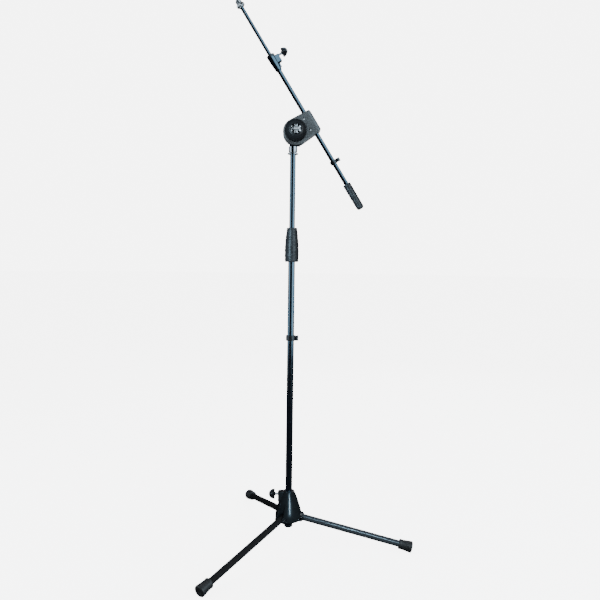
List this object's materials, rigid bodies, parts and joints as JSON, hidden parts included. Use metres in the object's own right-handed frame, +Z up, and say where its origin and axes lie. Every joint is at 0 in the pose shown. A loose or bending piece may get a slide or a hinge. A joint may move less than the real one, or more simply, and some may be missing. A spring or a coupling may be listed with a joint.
{
  "type": "boom microphone stand",
  "caption": "Folding tripod microphone stand with a clutch-locked telescopic pole, a swivel tilt head and a telescopic boom with a counterweight grip.",
  "frame": {"origin": "point on the pole's axis at floor level, between the feet", "axes": "+Z up along the pole; the boom lies in the XZ plane, its tip towards -X and its counterweight towards +X; -Y is the side with the clamping knob"},
  "size_m": [0.5588, 0.5971, 1.4671],
  "materials": {
    "black_gloss_paint": "gloss",
    "black_satin_paint": "satin",
    "pole_paint": "gloss",
    "zinc_bright": "polished",
    "dark_chrome": "polished",
    "brass_plain": "satin",
    "grip_rubber": "matt",
    "foot_rubber": "matt",
    "shell_plastic": "satin",
    "knob_plastic": "matt",
    "black_plastic": "matt",
    "steel_plain": "satin",
    "fibre_washer": "matt"
  },
  "bodies": {
    "base": {"base_casting": "black_gloss_paint", "leg_pivot_pins": "steel_plain", "base_clamp_pad": "brass_plain"},
    "base_wing": {"base_wing_screw": "zinc_bright", "base_wing_knob": "black_plastic"},
    "lower_pole": {"lower_pole_tube": "pole_paint", "pole_end_disc": "black_plastic", "end_disc_screw": "zinc_bright", "clutch_body": "steel_plain", "clutch_collet": "black_plastic"},
    "pole_clip": {"pole_cable_clip": "black_plastic"},
    "clutch_grip": {"clutch_core": "black_plastic", "clutch_cover": "grip_rubber"},
    "upper_pole": {"upper_pole_tube": "pole_paint", "upper_guide_bush": "black_plastic", "upper_end_plug": "steel_plain", "neck_ring": "zinc_bright"},
    "swivel": {"swivel_neck": "dark_chrome"},
    "head": {"head_front_shell": "shell_plastic", "head_rear_shell": "shell_plastic", "housing_screws": "steel_plain", "friction_washers": "fibre_washer", "tilt_bolt": "steel_plain", "boom_liner": "black_plastic"},
    "knob": {"head_knob": "knob_plastic", "head_knob_insert": "brass_plain", "head_knob_cap": "zinc_bright"},
    "boom": {"boom_tube": "pole_paint", "telescope_clamp": "pole_paint", "telescope_collar": "black_plastic", "telescope_pad": "black_plastic", "counterweight_core": "steel_plain", "counterweight_grip": "grip_rubber"},
    "boom_clip": {"boom_cable_clip": "black_plastic"},
    "clamp_wing": {"clamp_wing_screw": "zinc_bright", "clamp_wing_knob": "black_plastic"},
    "inner_boom": {"boom_rod": "pole_paint", "rod_guide_bush": "black_plastic", "rod_stud": "zinc_bright", "thread_adapter": "zinc_bright"},
    "tip_nut": {"lock_nut": "zinc_bright"},
    "right_leg": {"right_leg_tube": "black_satin_paint", "right_leg_plug": "black_plastic", "right_foot": "foot_rubber"},
    "rear_leg": {"rear_leg_tube": "black_satin_paint", "rear_leg_plug": "black_plastic", "rear_foot": "foot_rubber"},
    "front_leg": {"front_leg_tube": "black_satin_paint", "front_leg_plug": "black_plastic", "front_foot": "foot_rubber"}
  },
  "joints": [
    {"name": "right_leg_fold", "type": "hinge", "parent": "base", "child": "right_leg", "pos_m": [0.03369, -0.00456, 0.07909], "axis": [-0.134, -0.991, 0], "range_deg": [0, 76]},
    {"name": "rear_leg_fold", "type": "hinge", "parent": "base", "child": "rear_leg", "pos_m": [-0.0129, 0.03146, 0.07909], "axis": [0.9252, 0.3795, 0], "range_deg": [0, 76]},
    {"name": "front_leg_fold", "type": "hinge", "parent": "base", "child": "front_leg", "pos_m": [-0.02079, -0.0269, 0.07909], "axis": [-0.7912, 0.6115, 0], "range_deg": [0, 76]},
    {"name": "base_wing_turn", "type": "hinge", "parent": "base", "child": "base_wing", "pos_m": [-0.04, 0, 0.141], "axis": [-1, 0, 0], "range_deg": [-360, 0]},
    {"name": "pole_release", "type": "slide", "parent": "base", "child": "lower_pole", "axis": [0, 0, 1], "range_m": [-0.02, 0]},
    {"name": "pole_clip_slide", "type": "slide", "parent": "lower_pole", "child": "pole_clip", "axis": [0, 0, 1], "range_m": [-0.12, 0.15]},
    {"name": "clutch_turn", "type": "hinge", "parent": "lower_pole", "child": "clutch_grip", "pos_m": [0, 0, 0.828], "axis": [0, 0, 1], "range_deg": [-360, 0]},
    {"name": "height_slide", "type": "slide", "parent": "lower_pole", "child": "upper_pole", "axis": [0, 0, 1], "range_m": [-0.19, 0.45]},
    {"name": "neck_swivel", "type": "hinge", "parent": "upper_pole", "child": "swivel", "pos_m": [0, 0, 1.08], "axis": [0, 0, 1], "continuous": true},
    {"name": "boom_tilt", "type": "hinge", "parent": "swivel", "child": "head", "pos_m": [0.007, 0, 1.1255], "axis": [0, 1, 0], "range_deg": [-100, 32]},
    {"name": "knob_turn", "type": "hinge", "parent": "head", "child": "knob", "pos_m": [0.007, -0.03, 1.1255], "axis": [0, -1, 0], "range_deg": [-360, 0]},
    {"name": "boom_slide", "type": "slide", "parent": "head", "child": "boom", "axis": [0.5299, 0, -0.848], "range_m": [-0.04, 0.06]},
    {"name": "boom_clip_slide", "type": "slide", "parent": "boom", "child": "boom_clip", "axis": [0.5299, 0, -0.848], "range_m": [-0.03, 0.05]},
    {"name": "clamp_wing_turn", "type": "hinge", "parent": "boom", "child": "clamp_wing", "pos_m": [-0.0322, 0, 1.33071], "axis": [0.848, 0, 0.5299], "range_deg": [-360, 0]},
    {"name": "rod_slide", "type": "slide", "parent": "boom", "child": "inner_boom", "axis": [-0.5299, 0, 0.848], "range_m": [-0.13, 0.14]},
    {"name": "tip_nut_turn", "type": "hinge", "parent": "inner_boom", "child": "tip_nut", "pos_m": [-0.14174, 0, 1.4494], "axis": [-0.5299, 0, 0.848], "range_deg": [-360, 0]}
  ]
}
